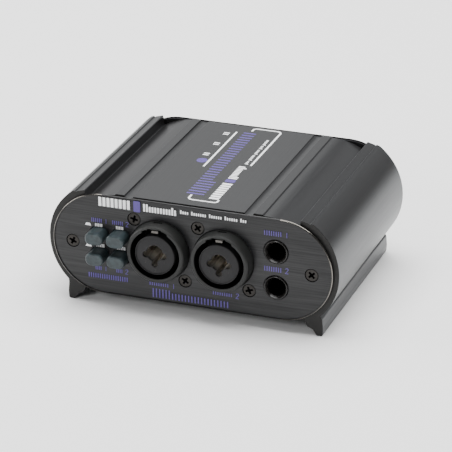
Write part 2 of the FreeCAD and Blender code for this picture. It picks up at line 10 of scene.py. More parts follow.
import bmesh
import bpy
from mathutils import Matrix, Vector, geometry
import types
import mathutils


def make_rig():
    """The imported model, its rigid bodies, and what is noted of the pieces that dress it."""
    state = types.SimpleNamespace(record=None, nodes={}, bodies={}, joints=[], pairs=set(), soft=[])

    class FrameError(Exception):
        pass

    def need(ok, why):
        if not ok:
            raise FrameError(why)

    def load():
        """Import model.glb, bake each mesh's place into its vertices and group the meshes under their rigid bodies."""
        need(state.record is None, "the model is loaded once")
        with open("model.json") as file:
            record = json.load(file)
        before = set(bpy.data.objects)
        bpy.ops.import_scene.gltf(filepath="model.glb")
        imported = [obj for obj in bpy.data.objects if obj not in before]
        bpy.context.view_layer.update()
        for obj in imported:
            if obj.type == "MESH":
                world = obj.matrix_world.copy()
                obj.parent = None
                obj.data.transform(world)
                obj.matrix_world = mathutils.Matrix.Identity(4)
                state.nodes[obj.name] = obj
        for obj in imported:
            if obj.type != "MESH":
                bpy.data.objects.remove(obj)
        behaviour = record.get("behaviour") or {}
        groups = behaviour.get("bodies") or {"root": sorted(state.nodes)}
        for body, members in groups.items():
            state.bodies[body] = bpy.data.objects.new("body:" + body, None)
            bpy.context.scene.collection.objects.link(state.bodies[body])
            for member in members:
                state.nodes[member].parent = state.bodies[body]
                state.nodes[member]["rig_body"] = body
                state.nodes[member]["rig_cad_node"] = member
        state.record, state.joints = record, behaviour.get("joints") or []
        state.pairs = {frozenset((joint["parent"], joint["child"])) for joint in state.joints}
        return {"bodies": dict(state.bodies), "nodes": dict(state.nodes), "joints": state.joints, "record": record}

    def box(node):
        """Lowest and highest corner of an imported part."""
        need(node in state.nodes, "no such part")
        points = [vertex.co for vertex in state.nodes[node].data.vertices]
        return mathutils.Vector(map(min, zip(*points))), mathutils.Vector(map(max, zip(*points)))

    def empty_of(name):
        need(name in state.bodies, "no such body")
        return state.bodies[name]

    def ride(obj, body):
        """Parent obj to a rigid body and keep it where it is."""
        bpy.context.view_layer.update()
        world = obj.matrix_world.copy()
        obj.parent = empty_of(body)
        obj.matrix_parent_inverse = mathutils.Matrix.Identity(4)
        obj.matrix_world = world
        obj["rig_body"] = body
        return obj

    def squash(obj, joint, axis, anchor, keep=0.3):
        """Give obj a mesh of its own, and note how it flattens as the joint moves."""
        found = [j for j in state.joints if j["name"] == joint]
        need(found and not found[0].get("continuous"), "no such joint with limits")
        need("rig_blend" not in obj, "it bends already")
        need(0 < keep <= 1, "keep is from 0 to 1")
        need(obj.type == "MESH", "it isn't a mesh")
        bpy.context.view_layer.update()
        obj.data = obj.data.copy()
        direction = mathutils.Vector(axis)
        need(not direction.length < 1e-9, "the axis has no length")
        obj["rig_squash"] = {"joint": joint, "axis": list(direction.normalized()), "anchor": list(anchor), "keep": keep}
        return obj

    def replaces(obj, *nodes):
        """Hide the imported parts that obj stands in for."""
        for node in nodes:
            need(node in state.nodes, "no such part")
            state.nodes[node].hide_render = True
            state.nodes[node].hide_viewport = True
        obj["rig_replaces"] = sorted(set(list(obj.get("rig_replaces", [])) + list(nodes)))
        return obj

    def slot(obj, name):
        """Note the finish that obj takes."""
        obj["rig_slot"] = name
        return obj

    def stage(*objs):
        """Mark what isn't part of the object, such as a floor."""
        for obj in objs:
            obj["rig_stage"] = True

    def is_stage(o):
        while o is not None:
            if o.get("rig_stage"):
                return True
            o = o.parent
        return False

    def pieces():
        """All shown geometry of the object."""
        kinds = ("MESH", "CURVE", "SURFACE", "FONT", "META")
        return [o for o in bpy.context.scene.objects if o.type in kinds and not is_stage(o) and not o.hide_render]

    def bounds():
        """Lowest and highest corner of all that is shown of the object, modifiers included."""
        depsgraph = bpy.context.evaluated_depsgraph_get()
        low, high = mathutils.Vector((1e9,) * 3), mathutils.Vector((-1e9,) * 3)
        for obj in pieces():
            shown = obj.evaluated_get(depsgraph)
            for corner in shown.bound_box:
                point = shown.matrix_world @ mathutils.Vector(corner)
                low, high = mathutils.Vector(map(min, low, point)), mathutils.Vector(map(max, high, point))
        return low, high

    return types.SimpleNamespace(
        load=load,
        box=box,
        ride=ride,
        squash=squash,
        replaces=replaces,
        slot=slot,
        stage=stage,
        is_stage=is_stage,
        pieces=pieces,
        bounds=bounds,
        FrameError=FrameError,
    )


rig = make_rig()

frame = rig.load()
CAD_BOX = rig.bounds()

MM = 0.001
PANEL_LOW, PANEL_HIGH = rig.box("front_panel")
FACE = PANEL_LOW.y                              # outer face of the front panel
MID_Z = (PANEL_LOW.z + PANEL_HIGH.z) / 2
REAR_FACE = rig.box("rear_panel")[1].y
CASE_LOW, CASE_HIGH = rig.box("case_extrusion")
PANEL_T = (PANEL_HIGH.y - PANEL_LOW.y) / MM
PANEL_R = (PANEL_HIGH.z - PANEL_LOW.z) / 2 / MM
PANEL_HALF = (PANEL_HIGH.x - PANEL_LOW.x) / 2 / MM
COLLAR_OUT = 5.3                                # how far the input collars stand out
BOTH = (1, 2)


def front(x, depth, z):
    return Vector((x * MM, FACE + depth * MM, MID_Z + z * MM))


def rear(x, depth, z):
    return Vector((x * MM, REAR_FACE - depth * MM, MID_Z + z * MM))


def centre(node):
    """Where the middle of a CAD node is, as (x, z) in the panel's frame."""
    low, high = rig.box(node)
    return (low.x + high.x) / 2 / MM, ((low.z + high.z) / 2 - MID_Z) / MM


# ---------------------------------------------------------------- outlines
def circle(x, z, radius, steps=72):
    turn = 2 * math.pi / steps
    return [(x + radius * math.cos(i * turn), z + radius * math.sin(i * turn)) for i in range(steps)]


def oblong(x, z, width, height, corner, steps=10):
    """A rectangle with round corners."""
    points = []
    for quarter, (i, j) in enumerate(((1, 1), (-1, 1), (-1, -1), (1, -1))):
        cx = x + i * (width / 2 - corner)
        cz = z + j * (height / 2 - corner)
        for step in range(steps + 1):
            a = math.pi / 2 * (quarter + step / steps)
            points.append((cx + corner * math.cos(a), cz + corner * math.sin(a)))
    return points


def turned(middle, first, last, steps):
    """Points round a centre from the first point to the last, the short way."""
    a0 = math.atan2(first[1] - middle[1], first[0] - middle[0])
    a1 = math.atan2(last[1] - middle[1], last[0] - middle[0])
    turn = (a1 - a0 + math.pi) % (2 * math.pi) - math.pi
    radius = math.dist(first, middle)
    angles = [a0 + turn * i / steps for i in range(steps + 1)]
    return [(middle[0] + radius * math.cos(a), middle[1] + radius * math.sin(a)) for a in angles]


def arc(start, middle, end, steps):
    """Points on the arc through three points, without its ends."""
    ax, ay = start
    bx, by = middle
    cx, cy = end
    d = 2 * (ax * (by - cy) + bx * (cy - ay) + cx * (ay - by))
    ux = ((ax**2 + ay**2) * (by - cy) + (bx**2 + by**2) * (cy - ay) + (cx**2 + cy**2) * (ay - by)) / d
    uy = ((ax**2 + ay**2) * (cx - bx) + (bx**2 + by**2) * (ax - cx) + (cx**2 + cy**2) * (bx - ax)) / d
    return turned((ux, uy), start, end, steps)[1:-1]


def rounded(corners, closed=True, steps=4):
    """An outline from (x, y, radius) corners; a radius of 0 keeps the corner."""
    points = []
    count = len(corners)
    for i, (x, y, radius) in enumerate(corners):
        at_end = not closed and i in (0, count - 1)
        if radius <= 0 or at_end:
            points.append((x, y))
            continue
        here = Vector((x, y))
        before = Vector(corners[i - 1][:2]) - here
        after = Vector(corners[(i + 1) % count][:2]) - here
        angle = before.angle(after)
        reach = min(radius / math.tan(angle / 2), 0.45 * before.length, 0.45 * after.length)
        before.normalize()
        after.normalize()
        middle = here + (before + after).normalized() * reach / math.cos(angle / 2)
        first = here + before * reach
        last = here + after * reach
        points += turned(tuple(middle), tuple(first), tuple(last), steps)
    return points


def inset(loop, distance):
    """The same loop moved towards its own left side by a small distance."""
    moved = []
    count = len(loop)
    for i, point in enumerate(loop):
        before = (Vector(point) - Vector(loop[i - 1])).normalized()
        after = (Vector(loop[(i + 1) % count]) - Vector(point)).normalized()
        bisector = Vector((-before.y - after.y, before.x + after.x))
        if bisector.length < 1e-6:
            moved.append(point)
            continue
        bisector.normalize()
        stretch = max(0.4, bisector.dot(Vector((-before.y, before.x))))
        moved.append(tuple(Vector(point) + bisector * distance / stretch))
    return moved


def round_over(radius, steps=4):
    """(depth, inset) steps of a rounded edge, from the face to the side."""
    angles = [math.pi / 2 * i / steps for i in range(steps + 1)]
    return [(radius * (1 - math.sin(a)), radius * (1 - math.cos(a))) for a in reversed(angles)][::-1]


# ---------------------------------------------------------------- mesh building
def wall(bm, rings):
    """Skins a row of loops, each (depth, outline), and returns the rows of vertices."""
    rows = [[bm.verts.new((x, depth, z)) for x, z in loop] for depth, loop in rings]
    for a, b in zip(rows, rows[1:]):
        for i in range(len(a)):
            j = (i + 1) % len(a)
            bm.faces.new((a[i], a[j], b[j], b[i])).smooth = True
    return rows


def encloses(loop, point):
    """Whether a point lies inside a closed outline."""
    inside = False
    for a, b in zip(loop, loop[1:] + loop[:1]):
        if (a.y > point.y) != (b.y > point.y):
            if point.x < a.x + (b.x - a.x) * (point.y - a.y) / (b.y - a.y):
                inside = not inside
    return inside


def cap(bm, rows):
    """Closes the flat end between an outline and the holes in it, with crisp edges."""
    flat = [v for row in rows for v in row]
    owner = [k for k, row in enumerate(rows) for _ in row]
    loops = [[Vector((v.co.x, v.co.z)) for v in row] for row in rows]
    rim = []
    for row in rows:
        start = len(rim)
        rim += [(start + i, start + (i + 1) % len(row)) for i in range(len(row))]
    points = [point for loop in loops for point in loop]
    found = geometry.delaunay_2d_cdt(points, rim, [], 0, 1e-7)
    triangles, origins = found[2], found[3]
    for triangle in triangles:
        corners = [origins[i][0] for i in triangle]
        row = owner[corners[0]]
        if all(owner[c] == row for c in corners):
            middle = (points[corners[0]] + points[corners[1]] + points[corners[2]]) / 3
            if encloses(loops[row], middle) != (row == 0):
                continue
        bm.faces.new([flat[c] for c in corners]).smooth = False
    for a, b in rim:
        bm.edges.get((flat[a], flat[b])).smooth = False


def prism(ring_sets, bm=None):
    """A plate or bar: ring_sets[0] is its outline and the rest are holes right through it."""
    bm = bm or bmesh.new()
    rows = [wall(bm, rings) for rings in ring_sets]
    cap(bm, [r[0] for r in rows])
    cap(bm, [r[-1] for r in rows])
    return bm


def lathe(section, x=0.0, z=0.0, segments=96, bm=None):
    """Turns a closed section of (radius, depth) points about the axis through (x, z)."""
    bm = bm or bmesh.new()
    turn = 2 * math.pi / segments
    rows = [[bm.verts.new((x + r * math.cos(k * turn), d, z + r * math.sin(k * turn))) for r, d in section]
            for k in range(segments)]
    count = len(section)
    for k in range(segments):
        a, b = rows[k], rows[(k + 1) % segments]
        for i in range(count):
            j = (i + 1) % count
            if section[i][0] or section[j][0]:
                bm.faces.new((a[i], a[j], b[j], b[i])).smooth = True
    bmesh.ops.remove_doubles(bm, verts=bm.verts, dist=1e-5)
    return bm


def slab(x0, x1, d0, d1, z0, z1, taper=0.0):
    """A block whose deep end is smaller by the taper on each side."""
    near = [(x0, z0), (x1, z0), (x1, z1), (x0, z1)]
    far = [(x0 + taper, z0 + taper), (x1 - taper, z0 + taper),
           (x1 - taper, z1 - taper), (x0 + taper, z1 - taper)]
    return prism([[(d0, near), (d1, far)]])


def temporary(bm):
    mesh = bpy.data.meshes.new("temporary")
    bmesh.ops.recalc_face_normals(bm, faces=bm.faces)
    bm.to_mesh(mesh)
    bm.free()
    obj = bpy.data.objects.new("temporary", mesh)
    bpy.context.scene.collection.objects.link(obj)
    return obj


def carve(bm, cutters):
    """Cuts each cutter out of the shape and returns what is left."""
    target = temporary(bm)
    tools = [temporary(cutter) for cutter in cutters]
    for tool in tools:
        modifier = target.modifiers.new("cut", "BOOLEAN")
        modifier.operation = "DIFFERENCE"
        modifier.solver = "EXACT"
        modifier.object = tool
    shown = target.evaluated_get(bpy.context.evaluated_depsgraph_get())
    result = bmesh.new()
    result.from_mesh(shown.to_mesh())
    shown.to_mesh_clear()
    for obj in [target] + tools:
        mesh = obj.data
        bpy.data.objects.remove(obj)
        bpy.data.meshes.remove(mesh)
    return result


def add_copy(target, source, move):
    """Adds the source mesh to the target after moving each of its points."""
    mesh = bpy.data.meshes.new("copy")
    source.to_mesh(mesh)
    mesh.transform(move)
    target.from_mesh(mesh)
    bpy.data.meshes.remove(mesh)


def piece(name, bm, side, material, replaces=(), body="case", sharp=32.0):
    """Turns a shape in the panel's frame into an object that rides on a body."""
    for v in bm.verts:
        v.co = side(*v.co)
    bmesh.ops.recalc_face_normals(bm, faces=bm.faces)
    limit = math.radians(sharp)
    for edge in bm.edges:
        if len(edge.link_faces) != 2 or edge.calc_face_angle(0.0) > limit:
            edge.smooth = False
    mesh = bpy.data.meshes.new(name)
    bm.to_mesh(mesh)
    bm.free()
    mesh.materials.append(material)
    obj = bpy.data.objects.new(name, mesh)
    bpy.context.scene.collection.objects.link(obj)
    weighted = obj.modifiers.new("weighted normals", "WEIGHTED_NORMAL")
    weighted.keep_sharp = True
    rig.ride(obj, body)
    if replaces:
        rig.replaces(obj, *replaces)
        slots = {s["node"]: s["material_slot"] for s in frame["record"]["subparts"]}
        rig.slot(obj, slots[replaces[0]])
    return obj


def repaint(obj, material, chosen):
    """Gives the faces whose centre and normal pass the test another material."""
    obj.data.materials.append(material)
    for face in obj.data.polygons:
        if chosen(face.center, face.normal):
            face.material_index = len(obj.data.materials) - 1


def panel_spot(centre):
    """A point in metres as (x, depth, z) in the front panel's frame."""
    return centre.x / MM, (centre.y - FACE) / MM, (centre.z - MID_Z) / MM


# ---------------------------------------------------------------- materials
class Finish:
    """One Principled material whose colour, roughness and relief come from noise."""

    def __init__(self, name, colour, roughness, **sockets):
        self.material = bpy.data.materials.new(name)
        self.material.use_nodes = True
        self.nodes = self.material.node_tree.nodes
        self.links = self.material.node_tree.links
        self.bsdf = self.nodes["Principled BSDF"]
        self.colour = colour
        self.bsdf.inputs["Base Color"].default_value = (*colour, 1)
        self.bsdf.inputs["Roughness"].default_value = roughness
        for socket, value in sockets.items():
            self.bsdf.inputs[socket.replace("_", " ")].default_value = value
        self.place = self.nodes.new("ShaderNodeTexCoord").outputs["Object"]

    def noise(self, per_mm, detail=3.0, roughness=0.55):
        """Noise with the given number of features to a millimetre along x, y and z."""
        mapping = self.nodes.new("ShaderNodeMapping")
        mapping.inputs["Scale"].default_value = [n / MM for n in per_mm]
        self.links.new(self.place, mapping.inputs["Vector"])
        noise = self.nodes.new("ShaderNodeTexNoise")
        noise.inputs["Scale"].default_value = 1.0
        noise.inputs["Detail"].default_value = detail
        noise.inputs["Roughness"].default_value = roughness
        self.links.new(mapping.outputs["Vector"], noise.inputs["Vector"])
        return noise.outputs["Fac"]

    def span(self, source, low, high, near=0.3, far=0.7):
        node = self.nodes.new("ShaderNodeMapRange")
        node.inputs["From Min"].default_value = near
        node.inputs["From Max"].default_value = far
        node.inputs["To Min"].default_value = low
        node.inputs["To Max"].default_value = high
        self.links.new(source, node.inputs["Value"])
        return node.outputs["Result"]

    def shade(self, source, low, high, other=None):
        """The colour wanders between two strengths of itself, or towards another colour."""
        ramp = self.nodes.new("ShaderNodeValToRGB")
        first, last = ramp.color_ramp.elements
        first.position, last.position = 0.3, 0.7
        first.color = (*[c * low for c in self.colour], 1)
        last.color = (*[c * high for c in (other or self.colour)], 1)
        self.links.new(source, ramp.inputs["Fac"])
        self.links.new(ramp.outputs["Color"], self.bsdf.inputs["Base Color"])
        return self

    def rough(self, source, low, high):
        self.links.new(self.span(source, low, high), self.bsdf.inputs["Roughness"])
        return self

    def sheen(self, source, low, high):
        self.links.new(self.span(source, low, high), self.bsdf.inputs["Specular IOR Level"])
        return self

    def relief(self, source, depth_mm, strength=1.0):
        bump = self.nodes.new("ShaderNodeBump")
        bump.inputs["Strength"].default_value = strength
        bump.inputs["Distance"].default_value = depth_mm * MM
        self.links.new(source, bump.inputs["Height"])
        if self.bsdf.inputs["Normal"].links:
            self.links.new(self.bsdf.inputs["Normal"].links[0].from_socket, bump.inputs["Normal"])
        self.links.new(bump.outputs["Normal"], self.bsdf.inputs["Normal"])
        return self

    def done(self):
        return self.material


def brushed_panel():
    finish = Finish("brushed_panel", (0.0070, 0.0070, 0.0078), 0.36)
    lines = finish.noise((0.07, 1.0, 8.0), 3.0, 0.6)
    bands = finish.noise((0.03, 1.0, 2.4), 4.0, 0.65)
    finish.shade(bands, 0.80, 1.24)
    finish.sheen(bands, 0.25, 0.42)
    finish.rough(lines, 0.28, 0.44)
    return finish.relief(lines, 0.02, 0.3).done()


def anodised_case():
    finish = Finish("anodised_case", (0.0080, 0.0073, 0.0077), 0.32, IOR=1.6,
                    Specular_Tint=(0.90, 0.965, 1.0, 1.0))
    lines = finish.noise((3.0, 0.03, 3.0), 4.0, 0.6)
    cloud = finish.noise((0.05, 0.02, 0.05), 2.0)
    grain = finish.noise((9.0, 9.0, 9.0), 2.0)
    finish.shade(cloud, 0.94, 1.06)
    finish.rough(lines, 0.28, 0.36)
    finish.relief(lines, 0.008, 0.3)
    return finish.relief(grain, 0.006, 0.3).done()


def sawn_end():
    finish = Finish("sawn_end", (0.0118, 0.0114, 0.0108), 0.5, Specular_IOR_Level=0.24)
    cuts = finish.noise((0.3, 1.0, 5.0), 3.0)
    finish.shade(cuts, 0.8, 1.3)
    return finish.relief(cuts, 0.03, 0.4).done()


def moulded(name, colour, roughness, grain_mm=0.12, depth_mm=0.012, **sockets):
    """Moulded plastic with a fine spark-eroded grain and slight flow clouds."""
    finish = Finish(name, colour, roughness, **sockets)
    per_mm = 1 / grain_mm
    grain = finish.noise((per_mm, per_mm, per_mm), 2.0)
    cloud = finish.noise((0.12, 0.12, 0.12), 3.0)
    finish.shade(cloud, 0.88, 1.12)
    finish.rough(grain, roughness - 0.06, roughness + 0.08)
    return finish.relief(grain, depth_mm, 0.35).done()


def smoked_cap():
    finish = Finish("smoked_cap", (0.0245, 0.0355, 0.039), 0.42, Specular_IOR_Level=0.25, Coat_Weight=0.15,
                    Coat_Roughness=0.12)
    cloud = finish.noise((0.55, 0.3, 0.55), 3.0)
    grain = finish.noise((3.0, 3.0, 3.0), 2.0)
    finish.shade(cloud, 0.62, 1.30)
    finish.rough(cloud, 0.30, 0.50)
    return finish.relief(grain, 0.01, 0.12).done()


def metal(name, colour, roughness, lines=(2.0, 2.0, 2.0), metallic=1.0):
    """Plain or plated metal with fine drawing lines and faint stains."""
    finish = Finish(name, colour, roughness, Metallic=metallic)
    streaks = finish.noise(lines, 4.0)
    stain = finish.noise((0.4, 0.4, 0.4), 3.0)
    finish.shade(stain, 0.82, 1.10)
    finish.rough(streaks, roughness - 0.08, roughness + 0.12)
    return finish.relief(streaks, 0.006, 0.4).done()


def sleeve_liner():
    """Drawn metal, dull at the opening and painted brighter further in: the brightening is painted light for the dim
    inside of the bore.
    """
    finish = Finish("sleeve_liner", (0.084, 0.078, 0.068), 0.6)
    lines = finish.noise((1.5, 4.0, 1.5), 3.0)
    split = finish.nodes.new("ShaderNodeSeparateXYZ")
    finish.links.new(finish.place, split.inputs["Vector"])
    # Painted light: the colour grows up to six times brighter with depth, standing in for light reaching deep into the
    # bore.
    deeper = finish.span(split.outputs["Y"], 0.3, 0.7, FACE - 4 * MM, FACE + MM)
    finish.shade(deeper, 1.0, 6.0)
    finish.rough(lines, 0.5, 0.7)
    return finish.relief(lines, 0.006, 0.4).done()


def circuit_board():
    finish = Finish("circuit_board", (0.020, 0.130, 0.060), 0.35, Coat_Weight=0.4, Coat_Roughness=0.2)
    tracks = finish.noise((0.6, 0.6, 0.6), 1.0)
    finish.shade(tracks, 0.8, 1.5)
    return finish.relief(tracks, 0.03, 0.5).done()


def printed(name, colour):
    """Screen-printed ink: dense, slightly uneven and a little proud of the metal; the same finish also carries the
    painted shade of the engraved numerals.
    """
    finish = Finish(name, colour, 0.55)
    grain = finish.noise((4.0, 4.0, 4.0), 3.0)
    finish.shade(grain, 0.90, 1.04)
    finish.rough(grain, 0.48, 0.64)
    return finish.relief(grain, 0.01, 0.3).done()


PANEL = brushed_panel()
CASE = anodised_case()
SAWN_END = sawn_end()
# Partly a polished edge and partly a painted highlight: this bright metal goes only on the panel's curved ends, where
# light falls on the bevel.
POLISHED_BEVEL_HIGHLIGHT = metal("polished_bevel_painted_highlight", (0.17, 0.16, 0.145), 0.14, (0.3, 1.0, 1.0))
# Painted shade: a near-black put on countersinks, screw crosses, socket walls, jack bores and the link jacks' bodies,
# which are dark only from shade.
SHADE = moulded("painted_recess_shade", (0.0012, 0.0012, 0.0012), 0.8, Specular_IOR_Level=0.05)
COLLAR = moulded("collar_plastic", (0.0170, 0.0175, 0.0170), 0.45, Specular_IOR_Level=0.22)
CONNECTOR = moulded("connector_plastic", (0.0048, 0.0045, 0.0042), 0.42, Specular_IOR_Level=0.2)
INSERT = moulded("insert_plastic", (0.0186, 0.0184, 0.0192), 0.50, Specular_IOR_Level=0.15)
BUSHING = moulded("bushing_plastic", (0.009, 0.008, 0.0075), 0.22, depth_mm=0.005, Specular_IOR_Level=0.35)
CAP = smoked_cap()
SCREW = metal("blackened_screw", (0.030, 0.028, 0.026), 0.34, metallic=0.9)
LINER = sleeve_liner()
STEEL = metal("spring_steel", (0.42, 0.40, 0.38), 0.34, (0.5, 6.0, 6.0))
# Painted shade: the latch tongue's steel is a darker copy of the spring steel, for the shade it sits in within the
# notch.
SHADED_TONGUE_STEEL = metal("tongue_steel_painted_shade", (0.10, 0.094, 0.088), 0.35, (0.5, 6.0, 6.0))
TIN = metal("tinned_contact", (0.60, 0.56, 0.50), 0.34, (6.0, 0.5, 6.0))
WHITE_INK = printed("white_ink", (0.90, 0.91, 0.92))
VIOLET_INK = printed("violet_ink", (0.072, 0.047, 0.232))
# Painted shade: dark marks that stand for the shade inside the numerals engraved in the inputs' cores.
ENGRAVING_SHADE = printed("engraved_shadow", (0.015, 0.015, 0.016))


# ---------------------------------------------------------------- case extrusion
LID_SHIFT = -1.1
FOOT_SHIFT = 0.45
LID_Z = 21.0
WALL = 1.9
RAIL_R = 24.7
RAIL_X = 34.3
PANEL_ARC_X = PANEL_HALF - PANEL_R
FOOT_Z = CASE_LOW.z / MM - MID_Z / MM
CRISP = 0.15
SOFT = 0.35


def on_rail(angle):
    a = math.radians(angle)
    return (RAIL_X + RAIL_R * math.cos(a), RAIL_R * math.sin(a))


def half_outline(side):
    """The case's outline from the middle of the lid round to the middle of the base."""
    lid = [(22.5, LID_Z, CRISP), (22.8, 20.55, CRISP)]
    lid += [(x, z, 0) for x, z in arc((22.8, 20.55), (24.4, 20.34), (26.0, 20.6), 8)]
    lid += [(26.0, 20.6, CRISP), (26.2, 21.2, CRISP), (29.8, 21.2, CRISP), (30.2, 20.7, CRISP)]
    corners = [(LID_SHIFT + side * x, z, r) for x, z, r in lid]
    valley = (43.1, 17.0)
    shoulder = arc(corners[-1][:2], (side * 37.2, 19.6), (side * valley[0], valley[1]), 14)
    corners += [(x, z, 0) for x, z in shoulder]
    rail = [(*valley, SOFT), (43.7, 20.7, CRISP), (44.0, 20.95, CRISP), (46.9, 20.15, CRISP),
            (47.3, 19.85, CRISP), (47.8, 20.25, CRISP), (48.3, 20.05, CRISP)]
    corners += [(side * x, z, r) for x, z, r in rail]
    flank = [on_rail(54.0 - 99.5 * i / 48) for i in range(49)]
    corners += [(side * x, z, 0) for x, z in flank]
    foot = [(52.0, -18.9, 1.2), (52.3, -22.8, 1.2), (52.1, FOOT_Z, 0.8), (49.8, FOOT_Z, 0.8),
            (48.2, -23.5, 0.9), (45.9, -22.4, 0.9), (45.0, -19.8, SOFT)]
    corners += [(side * (x + side * FOOT_SHIFT), z, r) for x, z, r in foot]
    join_x = 43.0
    start = (join_x, -math.sqrt(PANEL_R**2 - (join_x - PANEL_ARC_X) ** 2))
    middle = (PANEL_ARC_X + PANEL_R * math.sin(math.radians(10)), -PANEL_R * math.cos(math.radians(10)))
    end = (PANEL_ARC_X, -PANEL_R)
    corners += [(side * x, z, 0) for x, z in [start] + arc(start, middle, end, 8) + [end]]
    return corners


def half_hollow(side):
    """The hollow's outline from the middle of the lid round to the middle of the base."""
    radius = PANEL_R - WALL
    top = LID_Z - WALL - 0.3
    points = [(29.0, top)] + arc((29.0, top), (36.0, 17.7), (42.3, 15.2), 8) + [(42.3, 15.2)]
    for i in range(29):
        a = math.radians(50 - 5 * i)
        points.append((PANEL_ARC_X + radius * math.cos(a), radius * math.sin(a)))
    return [(side * x, z) for x, z in points]


def case_body():
    outline = rounded(half_outline(1) + half_outline(-1)[::-1])[::-1]
    hollow = (half_hollow(1) + half_hollow(-1)[::-1])[::-1]
    length = (CASE_HIGH.y - CASE_LOW.y) / MM
    edge = 0.08
    start = (CASE_LOW.y - FACE) / MM
    outer = [(start, inset(outline, edge)), (start + edge, outline),
             (start + length - edge, outline), (start + length, inset(outline, edge))]
    bm = prism([outer, [(start, hollow), (start + length, hollow)]])
    case = piece("case_body", bm, front, CASE, ["case_extrusion"])
    repaint(case, SAWN_END, lambda middle, normal: abs(normal.y) > 0.9)


# ---------------------------------------------------------------- panels and screws
HEAD_H = 1.3
HEAD_TOP = 0.14             # how far a screw's head lies below the panel's face
SHANK_R = 1.35
COUNTERSINK_R = 2.7
CROSS_REACH = 1.6           # from the middle of a screw's head to the end of its cross
END_SCREW_X = 48.6
END_SCREW_Z = -0.2
SCREW_DX = 10.27
SCREW_DZ = 11.42
COLLAR_BASE_R = 12.0
OUTPUT_BASE_R = 11.2
SHADOW_GAP = 0.22           # dark line between a connector and its hole
BUTTON_GAP = 0.6            # by how much a button's hole is wider than its cap

INPUTS = [centre("input_%d_insert" % i) for i in BOTH]
OUTPUTS = [centre("output_%d_insert" % i) for i in BOTH]
THRUS = [centre("thru_%d_bushing" % i) for i in BOTH]
BUTTONS = {"%s_%d" % (row, i): centre("%s_%d_cap" % (row, i))
           for row in ("ground_lift", "attenuator") for i in BOTH}
POWER = centre("power_cap")
DC = centre("dc_jack_contacts")[0], (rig.box("dc_jack_contacts")[1].z - MID_Z) / MM - 1.05
CAP_W = 7.2
CAP_H = 5.0
CAP_CORNER = 2.2


def screw_pair(spot):
    x, z = spot
    return [(x - SCREW_DX, z + SCREW_DZ), (x + SCREW_DX, z - SCREW_DZ)]


END_SCREWS = [(-END_SCREW_X, END_SCREW_Z), (END_SCREW_X, END_SCREW_Z)]
INPUT_SCREWS = [s for spot in INPUTS for s in screw_pair(spot)]
OUTPUT_SCREWS = [s for spot in OUTPUTS for s in screw_pair(spot)]


def straight_hole(loop, loop_wider):
    """A hole with a fine bevel at the face."""
    return [(0.0, loop_wider), (0.1, loop), (PANEL_T, loop)]


def round_hole(x, z, radius):
    return straight_hole(circle(x, z, radius), circle(x, z, radius + 0.1))


def screw_hole(x, z):
    steps = [(0.0, 2.72), (0.12, 2.62), (0.55, 2.5), (HEAD_H, SHANK_R + 0.14), (PANEL_T, SHANK_R + 0.14)]
    return [(depth, circle(x, z, radius)) for depth, radius in steps]


def panel_plate(name, node, side, spots, holes):
    edge = 0.45
    holes = [screw_hole(x, z) for x, z in spots] + holes
    rings = [(depth, oblong(0, 0, 2 * (PANEL_HALF - step), 2 * (PANEL_R - step), PANEL_R - step, 24))
             for depth, step in round_over(edge, 5)]
    back = rings[-1][1]
    rings += [(PANEL_T, back)]
    plate = piece(name, prism([rings] + holes), side, PANEL, [node])

    def on_bevel(middle, normal):
        """The edge takes bright polished metal only round the two ends, a painted highlight where the light falls; its
        straight runs are like the face.
        """
        x, _, z = panel_spot(middle)
        reach = math.dist((abs(x), z), (PANEL_ARC_X, 0))
        return abs(x) > PANEL_ARC_X - 2 and reach > PANEL_R - edge and 0.3 < abs(normal.y) < 0.95

    # Painted shade: the countersink walls round each screw head take the near-black recess colour, for the dark ring of
    # shade round the heads.
    def in_countersink(middle, normal):
        x, _, z = panel_spot(middle)
        return abs(normal.y) < 0.99 and min(math.dist((x, z), spot) for spot in spots) < COUNTERSINK_R

    repaint(plate, POLISHED_BEVEL_HIGHLIGHT, on_bevel)
    repaint(plate, SHADE, in_countersink)


def front_plate():
    holes = [round_hole(x, z, COLLAR_BASE_R + SHADOW_GAP) for x, z in INPUTS]
    holes += [round_hole(x, z, 4.95) for x, z in THRUS]
    for x, z in BUTTONS.values():
        loops = [oblong(x, z, CAP_W + gap, CAP_H + gap, CAP_CORNER + gap / 2)
                 for gap in (BUTTON_GAP, BUTTON_GAP + 0.2)]
        holes.append(straight_hole(*loops))
    panel_plate("front_plate", "front_panel", front, END_SCREWS + INPUT_SCREWS, holes)


def rear_plate():
    holes = [round_hole(x, z, OUTPUT_BASE_R + SHADOW_GAP) for x, z in OUTPUTS]
    holes += [round_hole(*DC, 4.4), round_hole(*POWER, 3.3)]
    panel_plate("rear_plate", "rear_panel", rear, END_SCREWS + OUTPUT_SCREWS, holes)


def make_screw():
    """A countersunk cross-head screw at the origin, its head just below depth 0."""
    length = 7.5
    head_r = 2.42
    section = rounded([(0, HEAD_TOP, 0), (head_r, HEAD_TOP, 0.14), (head_r, HEAD_TOP + 0.24, 0.1),
                       (SHANK_R, HEAD_H, 0.1), (SHANK_R, length, 0.2), (0, length, 0)])
    width = 0.45
    depth = 1.2
    blades = [slab(-CROSS_REACH, CROSS_REACH, -0.1, depth, -width, width, 0.1),
              slab(-width, width, -0.1, depth, -CROSS_REACH, CROSS_REACH, 0.1)]
    socket = lathe([(0, -0.1), (0.85, -0.1), (0.5, 1.4), (0, 1.4)], segments=16)
    return carve(lathe(section, segments=48), blades + [socket])


